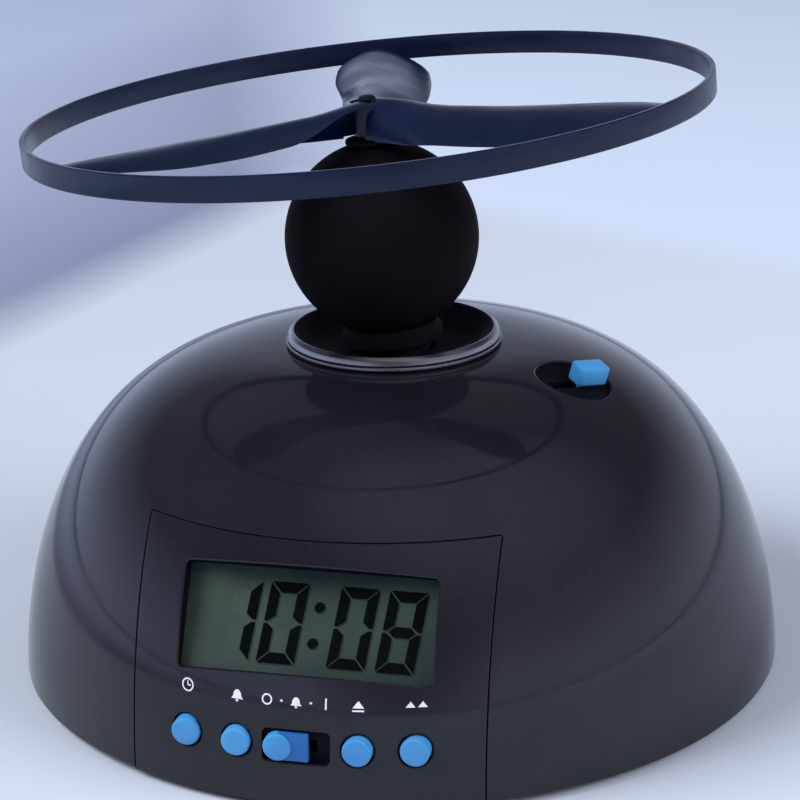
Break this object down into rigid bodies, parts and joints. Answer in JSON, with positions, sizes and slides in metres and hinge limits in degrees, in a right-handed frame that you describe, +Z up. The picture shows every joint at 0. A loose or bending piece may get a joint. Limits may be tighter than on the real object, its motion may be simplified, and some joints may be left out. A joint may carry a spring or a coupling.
{
  "type": "flying alarm clock",
  "caption": "Bedside alarm clock with a glossy domed base, leaning digital display and a tilting launcher head that carries a lift-off ringed rotor.",
  "frame": {"origin": "centre of the base, on the surface that the feet stand on", "axes": "+Z up, -Y towards the front with the display and the buttons, +X to the right as seen from the front"},
  "size_m": [0.145, 0.145, 0.1139],
  "materials": {
    "dome_gloss": "polished black plastic",
    "panel_gloss": "polished black plastic",
    "collar_gloss": "polished black plastic",
    "head_matt": "fine matt black plastic",
    "rotor_plastic": "satin dark plastic",
    "cap_dark": "satin black plastic",
    "button_blue": "satin light blue plastic",
    "display": "grey-green liquid crystal display",
    "inner_plastic": "moulded off-white plastic",
    "board": "green circuit board",
    "steel": "plated steel",
    "base_plastic": "matt black plastic",
    "foot_rubber": "black rubber",
    "cell_jacket": "printed steel jacket"
  },
  "bodies": {
    "base": {"upper_shell": "dome_gloss", "front_panel": "panel_gloss", "socket_collar": "collar_gloss", "display_glass": "display", "display_holder": "inner_plastic", "display_board": "board", "button_board": "board", "time_switch": "steel", "alarm_switch": "steel", "hour_switch": "steel", "minute_switch": "steel", "alarm_switch_body": "steel", "launch_switch_body": "steel", "base_plate": "base_plastic", "foot_front_left": "foot_rubber", "foot_front_right": "foot_rubber", "foot_rear_left": "foot_rubber", "foot_rear_right": "foot_rubber", "speaker": "steel", "cell_1": "cell_jacket", "cell_2": "cell_jacket", "cell_3": "cell_jacket", "cell_4": "cell_jacket", "contact_front_left": "steel", "contact_front_right": "steel", "contact_rear_left": "steel", "contact_rear_middle": "steel", "contact_rear_right": "steel"},
    "door": {"battery_door": "base_plastic"},
    "time_button": {"time_button": "button_blue"},
    "alarm_button": {"alarm_button": "button_blue"},
    "hour_button": {"hour_button": "button_blue"},
    "minute_button": {"minute_button": "button_blue"},
    "alarm_slide": {"alarm_switch_knob": "button_blue"},
    "launch_slide": {"launch_knob": "button_blue"},
    "head": {"neck": "head_matt", "ball_front": "head_matt", "ball_rear": "head_matt", "drive_motor": "steel", "spindle_bush": "head_matt"},
    "spindle": {"spindle": "steel"},
    "rotor": {"propeller": "rotor_plastic", "rotor_ring": "rotor_plastic", "rotor_cap": "cap_dark"}
  },
  "joints": [
    {"name": "head_tilt", "type": "hinge", "parent": "base", "child": "head", "pos_m": [0, 0, 0.06009], "axis": [0.1392, 0.9903, 0], "range_deg": [0, 10.2]},
    {"name": "spindle_spin", "type": "hinge", "parent": "head", "child": "spindle", "pos_m": [0, 0, 0.06009], "axis": [-0.088, 0.0124, 0.996], "continuous": true},
    {"name": "rotor_lift", "type": "slide", "parent": "spindle", "child": "rotor", "axis": [-0.088, 0.0124, 0.996], "range_m": [0, 0.03]},
    {"name": "time_press", "type": "slide", "parent": "base", "child": "time_button", "axis": [0, 1, 0], "range_m": [0, 0.0005], "stiffness_N_per_m": 400},
    {"name": "alarm_press", "type": "slide", "parent": "base", "child": "alarm_button", "axis": [0, 1, 0], "range_m": [0, 0.0005], "stiffness_N_per_m": 400},
    {"name": "hour_press", "type": "slide", "parent": "base", "child": "hour_button", "axis": [0, 1, 0], "range_m": [0, 0.0005], "stiffness_N_per_m": 400},
    {"name": "minute_press", "type": "slide", "parent": "base", "child": "minute_button", "axis": [0, 1, 0], "range_m": [0, 0.0005], "stiffness_N_per_m": 400},
    {"name": "alarm_on_off", "type": "slide", "parent": "base", "child": "alarm_slide", "axis": [1, 0, 0], "range_m": [0, 0.0034]},
    {"name": "launch", "type": "slide", "parent": "base", "child": "launch_slide", "axis": [-0.6838, -0.7155, 0.1431], "range_m": [0, 0.0062]},
    {"name": "battery_door_hinge", "type": "hinge", "parent": "base", "child": "door", "pos_m": [0, -0.0248, 0.0012], "axis": [-1, 0, 0], "range_deg": [0, 75]}
  ]
}
